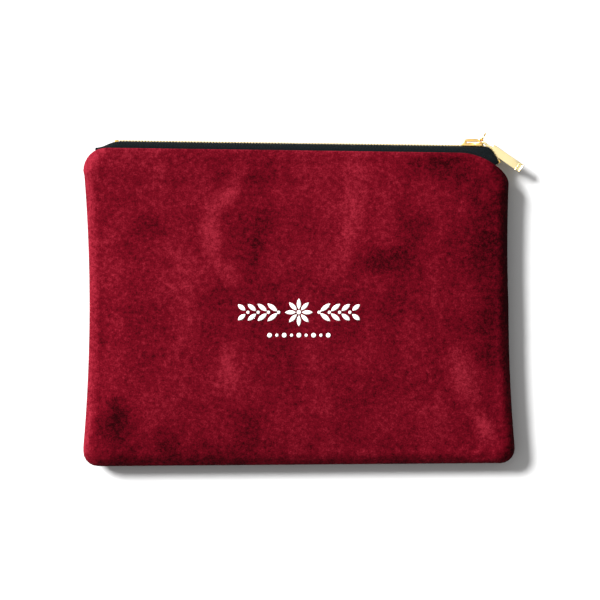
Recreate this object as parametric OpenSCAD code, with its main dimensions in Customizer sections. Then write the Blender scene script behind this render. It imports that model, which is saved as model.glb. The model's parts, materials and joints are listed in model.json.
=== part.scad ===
// Flat velvet zip pouch for cosmetics, lying on its back with the zip along its upper edge.
// Millimetres. +X along the zip to the parked slider, +Y out of the mouth, +Z out of the front face.
// The origin is the centre of the underside. Every soft part is a plain closed solid.

/* [Pouch] */
// Width across the bottom corners
bottom_w = 237.6; // [220:0.2:255]
// How far the bottom edge lies below the centre
bottom_y = 88; // [80:0.5:96]
// How far the zipped edge lies above the centre
mouth_y = 85.5; // [78:0.5:94]
// How far each side pulls in at the waist
waist_in = 3.4; // [0:0.2:6]
// How much narrower the right side is at the top than at the bottom
right_lean = 2.4; // [0:0.2:4]
// Slope of the zipped edge, falling to the right, in degrees
zip_fall = 0.8; // [0:0.1:1.2]
// Height of the side and bottom seams above the table
seam_z = 11; // [10.5:0.5:12]
// Half thickness where the rolled edge ends
edge_h = 8.5; // [7.5:0.5:9]
// Radius of the rolled edge in plan
roll_r = 8; // [7:0.5:10]
// Rise of each face from the rolled edge to the middle
crown_h = 2.5; // [1:0.1:3]
// Height of the velvet's edge at the mouth above the seam line
mouth_h = 7.5; // [7:0.1:8]

/* [Layers] */
// Thickness of the velvet
velvet_t = 1.2; // [0.8:0.1:1.4]
// Thickness of the fleece padding
padding_t = 1.7; // [1:0.1:1.8]
// Thickness of the lining
lining_t = 0.4; // [0.3:0.05:0.5]
// Gap left between layers
layer_gap = 0.1; // [0.05:0.05:0.15]

/* [Zip] */
// Distance from one tooth to the next in a row
pitch = 1.7; // [1.6:0.05:1.8]
// Thickness of the whole chain
tooth_h = 2.2; // [2:0.1:2.3]
// Height of the chain's middle above the velvet's edge
chain_y = 2.7; // [2.6:0.1:3]
// Where the chain's bottom stop is
chain_start = -98; // [-100:1:-96]
// Left end of the parked slider
slider_x = 89.5; // [88:0.1:91]
// Length of the slider
slider_l = 11.6; // [11.6:0.1:11.8]
// Thickness of the tape
tape_t = 0.45; // [0.4:0.05:0.5]

/* [Pull] */
// Length of the pull tab's flat plate
tab_l = 20; // [18:0.5:22]
// Width of the pull tab
tab_w = 4.8; // [4.4:0.1:5]
// Thickness of the pull tab
tab_t = 1; // [0.8:0.1:1.1]
// Direction of the pull tab from the chain's line
tab_angle = -34; // [-35:1:-30]
// Direction of the jump ring from the chain's line
ring_angle = 60; // [55:1:65]

/* [Hidden] */
$fn = 48;

half_w = bottom_w / 2;      // half width at the bottom corners
front_gap = 0.15;           // half the gap between the front and back layers at their seam
flat_cut = 0.5;             // how far the back would sag below the table, which trims it flat
crown_in = 62;              // inset where each face becomes flat
bottom_r = 8;               // bottom corner radius
left_r = 13;                // upper left corner radius
droop_rx = 26;              // the upper right corner falls away in this long curve
droop_ry = 17;
droop_flat = 1.18;
centre_y = (mouth_y - bottom_y) / 2;

// Zip path: straight, then a bend round the upper right corner, then straight again
bend_r = 6;
bend_a = 58;
bend_x = slider_x + slider_l + 0.3;   // where the bend starts
bend_l = bend_r * bend_a * PI / 180;
tail_l = 6.6;                         // straight length after the bend
moving_x0 = chain_start + slider_l + 1.9;   // the part of the front row that swings with the front
moving_x1 = slider_x - 0.9;
tooth_t = 0.75;
tooth_in = 0.55;            // how far a tooth's head crosses the middle
leg_out = 2.1;              // outer end of a tooth's legs
cord_z = 1.5;
cord_r = 0.42;
end_cord_r = 0.32;          // the cord is squeezed where the rows part
tape_in = 1.97;             // inner edge of the tape, against its cord
tape_bend = 4.7;            // where the tape turns down to the velvet
tape_sewn = 8;              // depth of the tape sewn between velvet and lining
split_x = slider_x + 6.6;   // where the two rows start to part inside the slider
split_slope = 0.33;
split_max = 1.2;
stop_l = 2;
stop_z = 1.9;               // half width of the bottom stop, which fits between the tapes
tilt = -zip_fall;

function mix(a, b, t) = a + (b - a) * t;
function clamp01(t) = min(1, max(0, t));
function ease(t) = let(c = clamp01(t)) c * c * (3 - 2 * c);
function top_at(x) = mouth_y + x * tan(tilt);
function left_at(y) = -half_w + waist_in * (1 - pow(y / 78, 2));
function right_at(y) = half_w - (y > 0 ? right_lean * y / 66 : 0) - waist_in * (1 - pow(y / 78, 2));

// A stretch of outline is a list of [x, y, share of the open mouth there]
function corner(cx, cy, rx, ry, a0, a1, n) =
    [for (i = [0 : n]) let(a = mix(a0, a1, i / n)) [cx + rx * cos(a), cy + ry * sin(a), corner_mouth(a)]];
// The drooping corner is a little flatter than an ellipse
function droop(cx, cy, n) = [for (i = [0 : n]) let(a = i / n * 90)
    [cx + droop_rx * pow(cos(a), droop_flat), cy + droop_ry * pow(sin(a), droop_flat), corner_mouth(a)]];
function corner_mouth(a) = a <= 90 ? ease((a - 12) / 40) : ease((130 - a) / 40);
droop_y = top_at(half_w - droop_rx) - droop_ry;
right_top = right_at(droop_y);
outline = concat(
    corner(half_w - bottom_r, bottom_r - bottom_y + 0.8, bottom_r, bottom_r, -90, 0, 3),
    [for (y = [-50 : 25 : 50]) [right_at(y), y, 0]],
    droop(right_top - droop_rx, droop_y, 6),
    [for (x = [50 : -37 : -61]) [x, top_at(x), 1]],
    corner(left_r - half_w, top_at(left_r - half_w) - left_r, left_r, left_r, 90, 180, 4),
    [for (y = [50 : -25 : -50]) [left_at(y), y, 0]],
    corner(bottom_r - half_w, bottom_r - bottom_y - 0.8, bottom_r, bottom_r, 180, 270, 3),
    [for (x = [-70 : 70 : 70]) [x, -bottom_y + x * 0.008, 0]]);

// Profile of one layer's face from the rim to the flat middle, as [inset, height] at a given depth
roll_steps = [0, 25, 50, 75, 90];
crown_steps = [22, 40, crown_in];
function crown_at(d) = crown_h * (1 - pow((crown_in - d) / (crown_in - roll_r), 2));
function side_profile(depth) = concat(
    [for (a = roll_steps) [roll_r - (roll_r - depth) * cos(a),
        front_gap + (edge_h - front_gap - depth) * sin(a)]],
    [for (d = crown_steps) [d, edge_h - depth + crown_at(d)]]);
function mouth_profile(depth) = concat(
    [for (a = roll_steps) [roll_r * (1 - cos(a)), mix(mouth_h, edge_h, sin(a)) - depth]],
    [for (d = crown_steps) [d, edge_h - depth + crown_at(d)]]);
// A point of a profile at place f, counted in steps from its rim
function profile_at(profile, f) = let(i = min(floor(f), len(profile) - 2)) mix(profile[i], profile[i + 1], f - i);
function inset_point(p, d) = [p.x * (1 - d / half_w), centre_y + (p.y - centre_y) * (1 - d / bottom_y)];
function face_ring(f, depth, extra) =
    [for (p = outline) let(
        s = profile_at(side_profile(depth), f),
        m = profile_at(mouth_profile(depth), f),
        d = mix(s[0], m[0], p[2]),
        q = inset_point(p, d),
        h = mix(s[1], m[1], p[2]) + extra * clamp01((d - roll_r) / crown_in))
        [q.x, q.y, h]];

whole_profile = [0 : len(roll_steps) + len(crown_steps) - 1];
// One layer of one side: a dish of even thickness, opening towards the seam plane
module layer(side, depth, thick, places = [for (f = whole_profile) f]) {
    n = len(outline);
    rings = len(places);
    extra = side < 0 ? flat_cut : 0;
    outer = [for (f = places) face_ring(f, depth, extra)];
    inner = [for (k = [rings - 1 : -1 : 0]) face_ring(places[k], depth + thick, extra)];
    loops = concat(outer, inner);
    points = [for (r = loops) for (p = r) [p.x, p.y, seam_z + side * p.z]];
    quads = [for (r = [0 : 2 * rings - 1]) if (r != rings - 1)
        for (i = [0 : n - 1]) let(j = (i + 1) % n, s = (r + 1) % (2 * rings))
            each [[r * n + i, s * n + i, r * n + j], [r * n + j, s * n + i, s * n + j]]];
    caps = [[for (i = [n - 1 : -1 : 0]) (rings - 1) * n + i], [for (i = [0 : n - 1]) rings * n + i]];
    faces = concat(quads, caps);
    polyhedron(points, side > 0 ? faces : [for (f = faces) [for (i = [len(f) - 1 : -1 : 0]) f[i]]]);
}

padding_depth = velvet_t + layer_gap;
lining_depth = padding_depth + padding_t + layer_gap;
padding_back = 9.5;         // the padding stops short of the seams and the sewn tape
padding_places = [4 + (padding_back - roll_r) / (crown_steps[0] - roll_r), 5, 6, 7];

module front_panel() color([0.5, 0.03, 0.13]) layer(1, 0, velvet_t);
module back_panel() color([0.47, 0.03, 0.12]) difference() {
    layer(-1, 0, velvet_t);
    translate([-half_w, -half_w, -10]) cube([2 * half_w, 2 * half_w, 10]);
}
module front_padding() color([0.92, 0.9, 0.86]) layer(1, padding_depth, padding_t, padding_places);
module back_padding() color([0.92, 0.9, 0.86]) layer(-1, padding_depth, padding_t, padding_places);
module front_lining() color([0.12, 0.11, 0.12]) layer(1, lining_depth, lining_t);
module back_lining() color([0.12, 0.11, 0.12]) layer(-1, lining_depth, lining_t);

// Zip frame: x along the chain, y out of the mouth from the velvet's edge, z across the chain
module on_zip() translate([0, mouth_y, seam_z]) rotate([0, 0, tilt]) children();
function bend_at(s) = clamp01((s - bend_x) / bend_l) * bend_a;
// The chain's path at distance s, as [x, y, turn]
function path_at(s) = let(a = bend_at(s), after = max(0, s - bend_x - bend_l))
    [min(s, bend_x) + bend_r * sin(a) + after * cos(bend_a),
        chain_y - bend_r * (1 - cos(a)) - after * sin(bend_a), a];
// Places children on the path, turned to follow it
module on_path(s) {
    p = path_at(s);
    translate([p.x, p.y, 0]) rotate([0, 0, -p[2]]) children();
}
// One closed band along the path, from a [height, distance from the middle] section at each station
module swept(stations, sections) {
    n = len(sections[0]);
    last = len(stations) - 1;
    points = [for (k = [0 : last]) let(p = path_at(stations[k])) for (q = sections[k])
        [p.x + q[0] * sin(p[2]), p.y + q[0] * cos(p[2]), q[1]]];
    sides = [for (k = [0 : last - 1]) for (i = [0 : n - 1]) let(j = (i + 1) % n)
        [k * n + i, (k + 1) * n + i, (k + 1) * n + j, k * n + j]];
    polyhedron(points, concat(sides, [[for (i = [0 : n - 1]) i], [for (i = [n - 1 : -1 : 0]) last * n + i]]));
}
// How far a row has parted from the middle at distance s
function parted(s) = s < split_x ? 0 : min(split_max, (s - split_x) * split_slope);

// One tooth: its head crosses the middle and its two legs clamp the tape's cord
module tooth() rotate([90, 0, 90]) translate([0, 0, -tooth_t / 2]) linear_extrude(tooth_t)
    polygon([[0.6, -tooth_in], [0.85, 0.2], [tooth_h / 2, 0.9], [tooth_h / 2, leg_out], [0.3, leg_out],
        [0.3, 1.95], [0.55, 1.95], [0.55, 1.05], [-0.55, 1.05], [-0.55, 1.95], [-0.3, 1.95],
        [-0.3, leg_out], [-tooth_h / 2, leg_out], [-tooth_h / 2, 0.9], [-0.85, 0.2], [-0.6, -tooth_in]]);
// side is 1 for the front row and -1 for the back row, which sits half a pitch along
module teeth(side, s0, s1) color([0.86, 0.72, 0.4]) on_zip()
    for (s = [chain_start + (side > 0 ? 0 : pitch / 2) : pitch : bend_x + bend_l + tail_l])
        if (s >= s0 && s < s1) on_path(s) translate([0, 0, side * parted(s)])
            mirror([0, 0, side > 0 ? 0 : 1]) tooth();

row_start = chain_start - 1;
row_end = bend_x + bend_l + tail_l - stop_l;
path_end = row_end + stop_l;
module front_teeth() teeth(1, moving_x0, moving_x1);
module front_teeth_left_end() teeth(1, row_start, moving_x0);
module front_teeth_right_end() teeth(1, moving_x1, row_end);
module back_teeth() teeth(-1, row_start, moving_x1);
module back_teeth_right_end() teeth(-1, moving_x1, row_end);

// The cord that the teeth clamp, along a straight stretch and round the corner
module straight_cord(side, s0, s1) color([0.07, 0.1, 0.11]) on_zip()
    translate([s0, chain_y, side * cord_z]) rotate([0, 90, 0]) cylinder(h = s1 - s0, r = cord_r);
module end_cord(side, s0) color([0.07, 0.1, 0.11]) on_zip() mirror([0, 0, side > 0 ? 0 : 1]) {
    stations = concat([s0, split_x], [for (i = [0 : 7]) mix(split_x + split_max / split_slope, path_end, i / 7)]);
    swept(stations, [for (s = stations) [for (a = [0 : 45 : 315])
        [end_cord_r * cos(a), cord_z + parted(s) + end_cord_r * sin(a)]]]);
}
gap_x = 0.05;               // ends of neighbouring lengths stay this far apart
module front_tape_cord() straight_cord(1, moving_x0, moving_x1);
module front_tape_cord_left_end() straight_cord(1, row_start, moving_x0 - gap_x);
module front_tape_cord_right_end() end_cord(1, moving_x1 + gap_x);
module back_tape_cord() straight_cord(-1, row_start, moving_x1 - gap_x);
module back_tape_cord_right_end() end_cord(-1, moving_x1);

// Tape cross-section in the zip frame, as [height, distance from the middle]
sewn_z = mouth_h - velvet_t - layer_gap;
module tape_section(inner, rise) polygon([[chain_y - tape_t / 2, inner], [chain_y + tape_t / 2, inner],
    [chain_y + tape_t / 2, tape_bend], [0.3, sewn_z], [-tape_sewn, sewn_z + rise],
    [-tape_sewn, sewn_z + rise - tape_t], [0.1, sewn_z - tape_t], [chain_y - tape_t / 2, tape_bend - 0.25]]);
module straight_tape(side, s0, s1, inner = tape_in, rise = 0.9) color([0.05, 0.08, 0.1]) on_zip()
    mirror([0, 0, side > 0 ? 0 : 1]) translate([s0, 0, 0]) rotate([90, 0, 90])
        linear_extrude(s1 - s0) tape_section(inner, rise);
// Under the parked slider the rows part, and round the corner the tape is a band that follows them
module end_tape(side, s0) color([0.05, 0.08, 0.1]) {
    straight_tape(side, s0, split_x);
    straight_tape(side, split_x, bend_x, tape_in + split_max, 0.1);
    on_zip() mirror([0, 0, side > 0 ? 0 : 1]) {
        stations = [for (i = [0 : 14]) mix(bend_x - 0.3, path_end, i / 14)];
        swept(stations, [for (s = stations) [[-tape_t / 2, tape_in + split_max],
            [tape_t / 2, tape_in + split_max], [tape_t / 2, sewn_z], [-tape_t / 2, sewn_z]]]);
    }
}
module front_tape() straight_tape(1, moving_x0, moving_x1);
module front_tape_left_end() straight_tape(1, row_start - 5, moving_x0 - gap_x);
module front_tape_right_end() end_tape(1, moving_x1 + gap_x);
module back_tape() straight_tape(-1, row_start - 5, moving_x1 - gap_x);
module back_tape_right_end() end_tape(-1, moving_x1);

// Stops
module bottom_stop() color([0.86, 0.72, 0.4]) on_zip()
    translate([chain_start - 3.6, chain_y - tooth_h / 2, -stop_z]) cube([2.4, tooth_h, 2 * stop_z]);
module top_stop(side) color([0.9, 0.72, 0.3]) on_zip() on_path(row_end + stop_l / 2 + 0.4)
    translate([0, 0, side * (parted(row_end) + 1.3)]) difference() {
        cube([stop_l, 1.9, 2.2], center = true);
        translate([-stop_l, -0.65, side > 0 ? -0.6 : -1.3]) cube([2 * stop_l, 1.3, 1.9]);
    }
module front_top_stop() top_stop(1);
module back_top_stop() top_stop(-1);

// Slider: two plates with turned edges, joined by the wedge between the rows
plate_in = tooth_h / 2 + 0.2;
plate_t = 0.7;
narrow_z = 3.1;             // outer half width at the narrow end
wide_z = 4.35;              // outer half width at the wide end
rim_w = 0.65;
module on_slider() on_zip() translate([slider_x, chain_y, 0]) children();
module slider_plan(grow) polygon([[0, -narrow_z + grow], [5, -narrow_z + grow], [9, -wide_z + grow],
    [slider_l, -wide_z + 0.2 + grow], [slider_l, wide_z - 0.2 - grow], [9, wide_z - grow],
    [5, narrow_z - grow], [0, narrow_z - grow]]);
module slider_plate() {
    rotate([90, 0, 0]) translate([0, 0, -plate_in - plate_t]) linear_extrude(plate_t) slider_plan(0);
    rotate([90, 0, 0]) translate([0, 0, -plate_in - 0.01]) linear_extrude(plate_in - 0.45) difference() {
        slider_plan(0);
        translate([-0.01, 0]) scale([1.01, 1]) slider_plan(rim_w);
    }
}
module slider_body() color([0.87, 0.72, 0.38]) on_slider() {
    slider_plate();
    mirror([0, 1, 0]) slider_plate();
    rotate([90, 0, 0]) translate([0, 0, -plate_in - 0.1]) linear_extrude(2 * plate_in + 0.2)
        polygon([[8.9, 0], [10.2, -0.45], [slider_l - 0.1, -0.45], [slider_l - 0.1, 0.45], [10.2, 0.45]]);
}

// Crown: a bridge over the outer plate, with a cross hole for the ring at its right end
plate_top = plate_in + plate_t;
pivot_x = 10.6;
pivot_y = plate_top + 1.5;
crown_w = 1.2;
crown_eye = 1.25;
ring_hole = 0.62;
module slider_crown() color([0.85, 0.7, 0.36]) on_slider() difference() {
    translate([0, 0, -crown_w / 2]) linear_extrude(crown_w) difference() {
        union() {
            polygon([[1.2, plate_top], [2.8, plate_top], [3.4, plate_top + 0.9], [pivot_x - 1, plate_top + 1],
                [pivot_x, pivot_y + crown_eye], [4, plate_top + 2.5], [2, plate_top + 1.8]]);
            translate([pivot_x, pivot_y]) circle(r = crown_eye);
            translate([pivot_x - 1.2, plate_top]) square([2.1, 0.9]);
        }
        translate([pivot_x, pivot_y]) circle(r = ring_hole);
    }
}
module lock_spring() color([0.75, 0.6, 0.3]) on_slider()
    translate([3.6, plate_top + 0.15, -0.5]) cube([4.6, 0.35, 1]);

// Jump ring: a round wire ring threaded through the crown's cross hole
ring_r = 2.4;
wire_r = 0.42;
module on_pivot() on_slider() translate([pivot_x, pivot_y, 0]) children();
module pull_ring() color([0.84, 0.68, 0.34]) on_pivot() rotate([0, 0, ring_angle])
    translate([ring_r, 0, 0]) rotate([90, 0, 0]) rotate_extrude() translate([ring_r, 0]) circle(r = wire_r);

// Pull tab: a plate whose two ears hang on the ring beside the crown
ear_r = 1.35;
ear_hole = 0.86;
ear_in = 0.75;
ear_t = 0.45;
arm_w = 1.2;                // width of each ear's arm
block_x = 2.2;              // a block joins the two arms
block_l = 1.1;
neck_l = 7;
end_block = 2.8;
module pull_tab() color([0.95, 0.88, 0.62]) on_pivot() rotate([0, 0, tab_angle]) {
    for (side = [-1, 1]) mirror([0, 0, side > 0 ? 0 : 1]) translate([0, 0, ear_in]) linear_extrude(ear_t)
        difference() {
            union() {
                circle(r = ear_r);
                translate([0, -arm_w / 2]) square([block_x + block_l / 2, arm_w]);
            }
            circle(r = ear_hole);
        }
    translate([block_x, -arm_w / 2, -ear_in - ear_t]) cube([block_l, arm_w, 2 * (ear_in + ear_t)]);
    translate([block_x + block_l / 2, -0.9, -tab_t / 2]) cube([neck_l - block_x, 1.8, tab_t]);
    translate([neck_l, -tab_w / 2, -tab_t / 2]) cube([tab_l, tab_w, tab_t]);
    translate([neck_l + tab_l - end_block, -tab_w / 2, -tab_t / 2 - 0.2])
        cube([end_block, tab_w, tab_t + 0.4]);
}

// Embroidery: a sprig of leaves over a short row of seeds
face_z = seam_z + edge_h + crown_h;
stitch_t = 0.5;
module leaf(l, w) {
    r = (l * l / 4 + w * w / 4) / w;
    intersection() {
        translate([0, r - w / 2]) circle(r = r, $fn = 96);
        translate([0, w / 2 - r]) circle(r = r, $fn = 96);
    }
}
module embroidery() color([0.96, 0.94, 0.92]) translate([0, -4, face_z + 0.05]) linear_extrude(stitch_t) {
    for (i = [0 : 7]) rotate(i * 45) translate([4.6, 0]) leaf(6, 2.3);
    circle(r = 1.2, $fn = 24);
    for (side = [0, 180]) rotate(side) for (i = [0 : 3]) translate([11 + i * 5.6, 0]) {
        for (up = [-1, 1]) rotate(up * 38) translate([4.3, 0]) leaf(7 - i * 0.6, 2.5);
        circle(r = 0.9, $fn = 24);
    }
    for (i = [-4 : 4]) translate([i * 4, -12.5]) circle(d = i % 2 == 0 ? 2.6 : 1.8, $fn = 24);
}

front_panel();
front_padding();
front_lining();
back_panel();
back_padding();
back_lining();
front_tape();
front_tape_left_end();
front_tape_right_end();
back_tape();
back_tape_right_end();
front_tape_cord();
front_tape_cord_left_end();
front_tape_cord_right_end();
back_tape_cord();
back_tape_cord_right_end();
front_teeth();
front_teeth_left_end();
front_teeth_right_end();
back_teeth();
back_teeth_right_end();
bottom_stop();
front_top_stop();
back_top_stop();
slider_body();
slider_crown();
lock_spring();
pull_ring();
pull_tab();
embroidery();
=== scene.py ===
"""A flat velvet zip pouch with a gold zip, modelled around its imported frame."""

import json
import math

import bmesh
import bpy
from mathutils import Matrix, Vector, noise
from mathutils.bvhtree import BVHTree
from mathutils.interpolate import poly_3d_calc

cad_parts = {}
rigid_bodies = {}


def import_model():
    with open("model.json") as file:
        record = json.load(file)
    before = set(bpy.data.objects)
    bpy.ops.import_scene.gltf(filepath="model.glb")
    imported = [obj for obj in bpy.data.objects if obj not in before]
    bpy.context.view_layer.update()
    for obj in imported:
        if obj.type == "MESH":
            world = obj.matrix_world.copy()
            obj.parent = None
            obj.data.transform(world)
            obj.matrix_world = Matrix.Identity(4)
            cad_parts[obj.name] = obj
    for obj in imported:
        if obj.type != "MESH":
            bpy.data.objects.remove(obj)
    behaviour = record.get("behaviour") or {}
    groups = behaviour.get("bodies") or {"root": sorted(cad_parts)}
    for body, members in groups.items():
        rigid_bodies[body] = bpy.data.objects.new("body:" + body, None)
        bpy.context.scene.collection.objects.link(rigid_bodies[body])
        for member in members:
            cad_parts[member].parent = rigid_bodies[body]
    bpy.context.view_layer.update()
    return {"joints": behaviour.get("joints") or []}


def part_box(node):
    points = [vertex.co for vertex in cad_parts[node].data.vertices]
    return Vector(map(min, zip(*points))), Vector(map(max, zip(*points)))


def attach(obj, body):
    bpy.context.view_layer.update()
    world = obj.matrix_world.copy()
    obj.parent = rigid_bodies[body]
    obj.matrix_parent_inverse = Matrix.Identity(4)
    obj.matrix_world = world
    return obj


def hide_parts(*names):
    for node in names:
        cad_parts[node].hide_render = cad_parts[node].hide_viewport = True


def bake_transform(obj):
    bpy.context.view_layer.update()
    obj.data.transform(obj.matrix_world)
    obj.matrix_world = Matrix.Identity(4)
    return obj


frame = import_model()

bl_info = {
    "name": "Velvet Zip Pouch",
    "version": (1, 0, 0),
    "blender": (4, 5, 0),
    "location": "View3D > Sidebar > Pouch",
    "description": "Builds a padded velvet pouch with a metal zip around its frame",
    "category": "Add Mesh",
}

MM = 0.001
FRONT_LOW, FRONT_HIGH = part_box("front_panel")
BACK_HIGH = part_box("back_panel")[1]
SLIDER_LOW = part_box("slider_body")[0]
JOINTS = {joint["name"]: joint for joint in frame["joints"]}
HALF_W = FRONT_HIGH.x / MM
BOTTOM_Y = 88.0
SEAM_Z = (FRONT_LOW.z + BACK_HIGH.z) / 2 / MM
SLIDE_AXIS = Vector(JOINTS["zip_slide"]["axis"])
TILT = math.atan2(-SLIDE_AXIS.y, -SLIDE_AXIS.x)
MOUTH_Y = 85.5
CENTRE_Y = (MOUTH_Y - BOTTOM_Y) / 2


def length(name, description, default, low, high):
    """A size property; its numbers are in millimetres."""
    return bpy.props.FloatProperty(
        name=name, description=description, default=default * MM, min=low * MM, max=high * MM,
        subtype="DISTANCE", unit="LENGTH")


def colour(name, description, *default):
    """A colour property."""
    return bpy.props.FloatVectorProperty(
        name=name, description=description, subtype="COLOR", size=3, min=0, max=1, default=default)


class PouchSizes(bpy.types.PropertyGroup):
    """Sizes of the sewn parts"""

    roll: length("Rolled edge", "Radius of the rolled edge in plan", 8, 6, 11)
    velvet: length("Velvet", "Thickness of the velvet", 1.2, 0.5, 2)
    padding: length("Padding", "Thickness of the fleece padding", 1.6, 0.5, 2)
    lining: length("Lining", "Thickness of the lining", 0.4, 0.2, 0.8)
    seam_groove: length("Seam groove", "How far the side seams are drawn in", 0.8, 0, 2)
    swell: length("Swell", "The most that the padding may push the velvet out", 2.2, 0, 4)


class ZipSizes(bpy.types.PropertyGroup):
    """Sizes of the zip and its pull"""

    pitch: length("Tooth pitch", "Distance between neighbouring teeth of a row", 1.7, 1.5, 2)
    tooth_height: length("Tooth height", "Thickness of the chain", 2.2, 2, 2.4)
    chain_rise: length("Chain rise", "Height of the chain's middle above the velvet's edge", 2.7, 2, 3.2)
    tape: length("Tape", "Thickness of the tape", 0.45, 0.3, 0.6)


class PouchColours(bpy.types.PropertyGroup):
    """Colours of the pouch"""

    # the dark and light velvet colours are the ends of the random mottle of the pile and also of the painted
    # shade and painted light on the slopes
    velvet_dark: colour("Velvet, dark nap", "Where the nap leans towards the eye", 0.011, 0.0, 0.0006)
    velvet_mid: colour("Velvet", "Main colour of the velvet", 0.083, 0.0008, 0.0048)
    velvet_light: colour("Velvet, light nap", "Where the nap leans away from the eye", 0.2, 0.0105, 0.021)
    tape: colour("Tape", "Colour of the zip tape", 0.0012, 0.0024, 0.003)
    gold: colour("Gold", "Colour of the plated metal", 0.9, 0.58, 0.17)
    pale_gold: colour("Pale gold", "Colour of the teeth and the pull tab", 0.92, 0.76, 0.4)
    thread: colour("Thread", "Colour of the embroidery thread", 0.9, 0.87, 0.84)
    lining: colour("Lining", "Colour of the lining", 0.018, 0.016, 0.018)


def mix(a, b, t):
    return a + (b - a) * t


def ease(t):
    t = min(1.0, max(0.0, t))
    return t * t * (3 - 2 * t)


# ---------------------------------------------------------------- outline of the pouch, in millimetres

WAIST_IN = 3.4          # how far the sides are drawn in at their middle
SIDE_SPAN = 78.0        # half length of that curve
RIGHT_LEAN = 2.4        # how far the right side leans in at the top
LEAN_SPAN = 66.0
BOTTOM_R = 8.0          # radii of the lower corners and of the upper left one
LEFT_R = 13.0
BOTTOM_SLOPE = 0.008    # the bottom seam runs a little uphill to the right
BOTTOM_LIFT = 0.8
DROOP = (26.0, 17.0)    # reach of the long upper right corner, across and up
DROOP_FLAT = 1.18
DROOP_L = 34.0          # lengths along the two upper corners
LEFT_L = 20.0
EDGE_H = 8.5            # heights above the seam: where the roll ends, the crown's rise, the mouth's edge
CROWN_H = 2.5
CROWN_IN = 62.0
MOUTH_H = 7.5
FLAT_CUT = 0.5
SEAM_GAP = 0.15
GROOVE_H = 1.1


def top_at(x):
    return MOUTH_Y + x * math.tan(TILT)


def left_at(y):
    return -HALF_W + WAIST_IN * (1 - (y / SIDE_SPAN) ** 2)


def right_at(y):
    lean = RIGHT_LEAN * y / LEAN_SPAN if y > 0 else 0
    return HALF_W - lean - WAIST_IN * (1 - (y / SIDE_SPAN) ** 2)


def corner_mouth(angle):
    return ease((angle - 12) / 40) if angle <= 90 else ease((130 - angle) / 40)


def corner(cx, cy, rx, ry, start, end, steps):
    for i in range(steps + 1):
        angle = mix(start, end, i / steps)
        turn = math.radians(angle)
        yield cx + rx * math.cos(turn), cy + ry * math.sin(turn), corner_mouth(angle)


def droop(cx, cy, steps):
    """The long upper right corner, a little flatter than an ellipse."""
    for i in range(steps + 1):
        angle = mix(0, 90, i / steps)
        turn = math.radians(angle)
        across, up = max(0, math.cos(turn)) ** DROOP_FLAT, math.sin(turn) ** DROOP_FLAT
        yield cx + DROOP[0] * across, cy + DROOP[1] * up, corner_mouth(angle)


def stretch(start, end, step):
    """Evenly spaced inner points between start and end."""
    count = max(1, round(abs(end - start) / step))
    return [mix(start, end, i / count) for i in range(1, count)]


def outline(step=2.6):
    """The outline as (x, y, share of the open mouth), anticlockwise from the lower right corner."""
    low_right, low_left = BOTTOM_LIFT - BOTTOM_Y, -BOTTOM_LIFT - BOTTOM_Y
    droop_y = top_at(HALF_W - DROOP[0]) - DROOP[1]
    centre_right, centre_left = right_at(droop_y) - DROOP[0], LEFT_R - HALF_W
    small = max(3, round(BOTTOM_R * 1.57 / step))
    points = list(corner(HALF_W - BOTTOM_R, low_right + BOTTOM_R, BOTTOM_R, BOTTOM_R, -90, 0, small))
    points += [(right_at(y), y, 0) for y in stretch(low_right + BOTTOM_R, droop_y, step)]
    points += droop(centre_right, droop_y, round(DROOP_L / step))
    points += [(x, top_at(x), 1) for x in stretch(centre_right, centre_left, step)]
    left_steps = round(LEFT_L / step)
    points += corner(centre_left, top_at(centre_left) - LEFT_R, LEFT_R, LEFT_R, 90, 180, left_steps)
    points += [(left_at(y), y, 0) for y in stretch(top_at(centre_left) - LEFT_R, low_left + BOTTOM_R, step)]
    points += corner(BOTTOM_R - HALF_W, low_left + BOTTOM_R, BOTTOM_R, BOTTOM_R, 180, 270, small)
    bottom = stretch(BOTTOM_R - HALF_W, HALF_W - BOTTOM_R, step)
    points += [(x, -BOTTOM_Y + x * BOTTOM_SLOPE, 0) for x in bottom]
    return points


def crown_at(inset, roll):
    return CROWN_H * (1 - ((CROWN_IN - min(inset, CROWN_IN)) / (CROWN_IN - roll)) ** 2)


def face_rings(points, depth, back_off, side, groove, arcs, insets):
    """Rings of (x, y, height, mouth) from the rim to the middle of one face, at a depth below its surface."""
    sizes = bpy.context.scene.pouch_sizes
    roll = sizes.roll / MM
    for k in range(arcs + 1 + len(insets)):
        ring = []
        angle = math.radians(90 * min(k, arcs) / arcs)
        for x, y, mouth in points:
            if k <= arcs:
                inset = roll - (roll - depth) * math.cos(angle)
                height = SEAM_GAP + (EDGE_H - SEAM_GAP - depth) * math.sin(angle)
                inset += groove * math.exp(-((height / GROOVE_H) ** 2))
                mouth_inset = back_off * math.cos(angle) + roll * (1 - math.cos(angle))
                mouth_height = mix(MOUTH_H, EDGE_H, math.sin(angle)) - depth
            else:
                inset = insets[k - arcs - 1]
                height = EDGE_H - depth + crown_at(inset, roll)
                mouth_inset = inset
                mouth_height = height
            far = mix(inset, mouth_inset, mouth)
            high = mix(height, mouth_height, mouth)
            if side < 0:
                high += FLAT_CUT * min(1, max(0, (far - roll) / CROWN_IN))
            ring.append((
                x * (1 - far / HALF_W),
                CENTRE_Y + (y - CENTRE_Y) * (1 - far / BOTTOM_Y),
                high,
                mouth,
            ))
        yield ring


def even_insets(roll, step, last=80.0):
    count = round((last - roll) / step)
    return [mix(roll, last, (i + 1) / count) for i in range(count)]


# ---------------------------------------------------------------- small helpers


def deselect_all():
    if bpy.context.object and bpy.context.object.mode != "OBJECT":
        bpy.ops.object.mode_set(mode="OBJECT")
    bpy.ops.object.select_all(action="DESELECT")


def make_active(obj):
    deselect_all()
    obj.select_set(True)
    bpy.context.view_layer.objects.active = obj


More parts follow.
